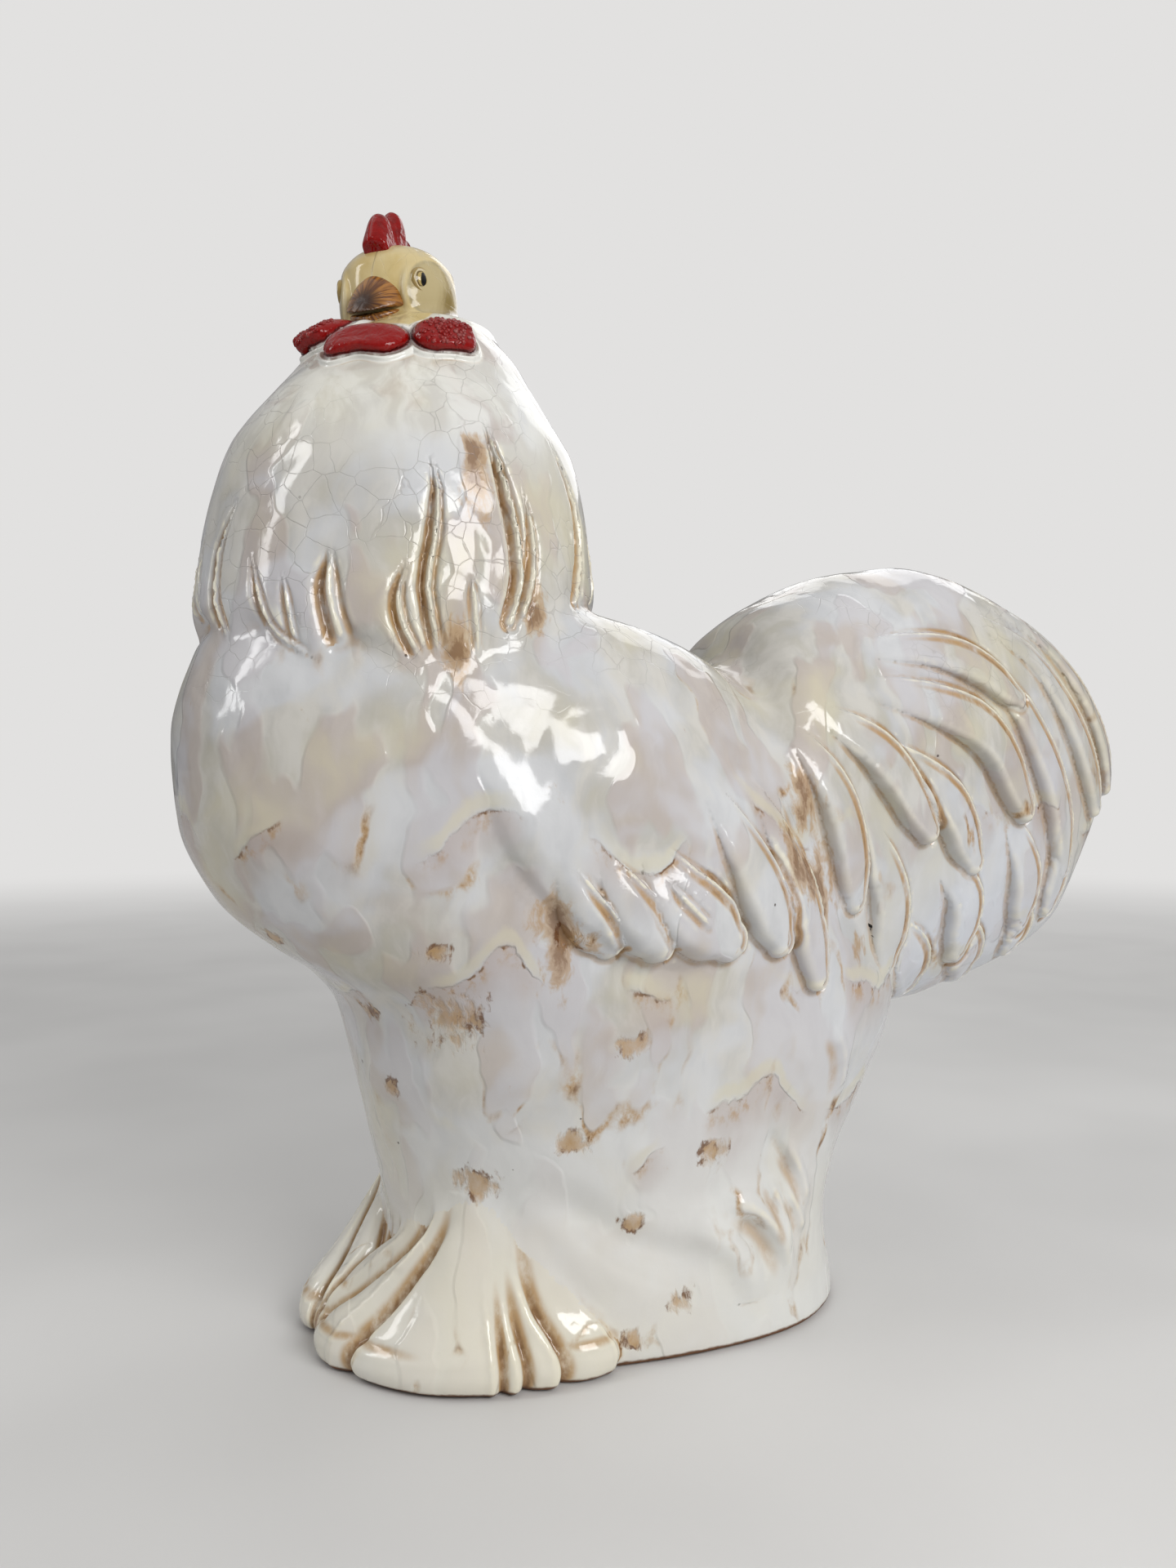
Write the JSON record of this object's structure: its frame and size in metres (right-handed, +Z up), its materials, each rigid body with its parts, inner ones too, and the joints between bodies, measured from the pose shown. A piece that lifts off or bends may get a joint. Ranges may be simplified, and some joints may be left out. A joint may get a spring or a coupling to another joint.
{
  "type": "ceramic rooster figurine",
  "caption": "Standing rooster in glazed ceramic, with a ridged neck, folded wings, a round fan tail and its head turned to the left, resting on a flat base.",
  "frame": {"origin": "on the ground, in the middle of the flat underside", "axes": "+Z up, -Y the way the breast faces, +X the rooster's left side"},
  "size_m": [0.2228, 0.5649, 0.542],
  "materials": {
    "white_glaze": "glossy milky white glaze with lavender and cream veils and brown breaks",
    "cream_glaze": "glossy cream glaze that breaks brown at its edges",
    "face_glaze": "glossy olive and tan glaze",
    "red_glaze": "glossy red glaze",
    "beak_glaze": "glossy amber and brown streaked glaze",
    "eye_glaze": "glossy pale glaze with a painted black pupil",
    "bare_clay": "unglazed fired clay"
  },
  "bodies": {
    "root": {"body_shell": "white_glaze", "floor_slab": "bare_clay", "head": "face_glaze", "neck_hackle": "white_glaze", "beak_upper": "beak_glaze", "beak_lower": "beak_glaze", "eye_right": "eye_glaze", "eye_left": "eye_glaze", "comb": "red_glaze", "wattle_front": "red_glaze", "earlobe_right": "red_glaze", "earlobe_left": "red_glaze", "tail_shell": "white_glaze", "covert_upper_left": "white_glaze", "covert_front_left": "white_glaze", "sickle_middle_left": "white_glaze", "sickle_upper_left": "white_glaze", "covert_middle_left": "white_glaze", "sickle_rear_left": "white_glaze", "sickle_outer_left": "white_glaze", "covert_rear_left": "white_glaze", "covert_lower_left": "white_glaze", "covert_lowest_left": "white_glaze", "covert_upper_right": "white_glaze", "covert_front_right": "white_glaze", "sickle_middle_right": "white_glaze", "sickle_upper_right": "white_glaze", "covert_middle_right": "white_glaze", "sickle_rear_right": "white_glaze", "sickle_outer_right": "white_glaze", "covert_rear_right": "white_glaze", "covert_lower_right": "white_glaze", "covert_lowest_right": "white_glaze", "wing_left": "white_glaze", "wing_right": "white_glaze", "foot_left": "cream_glaze", "foot_right": "cream_glaze"}
  },
  "joints": []
}
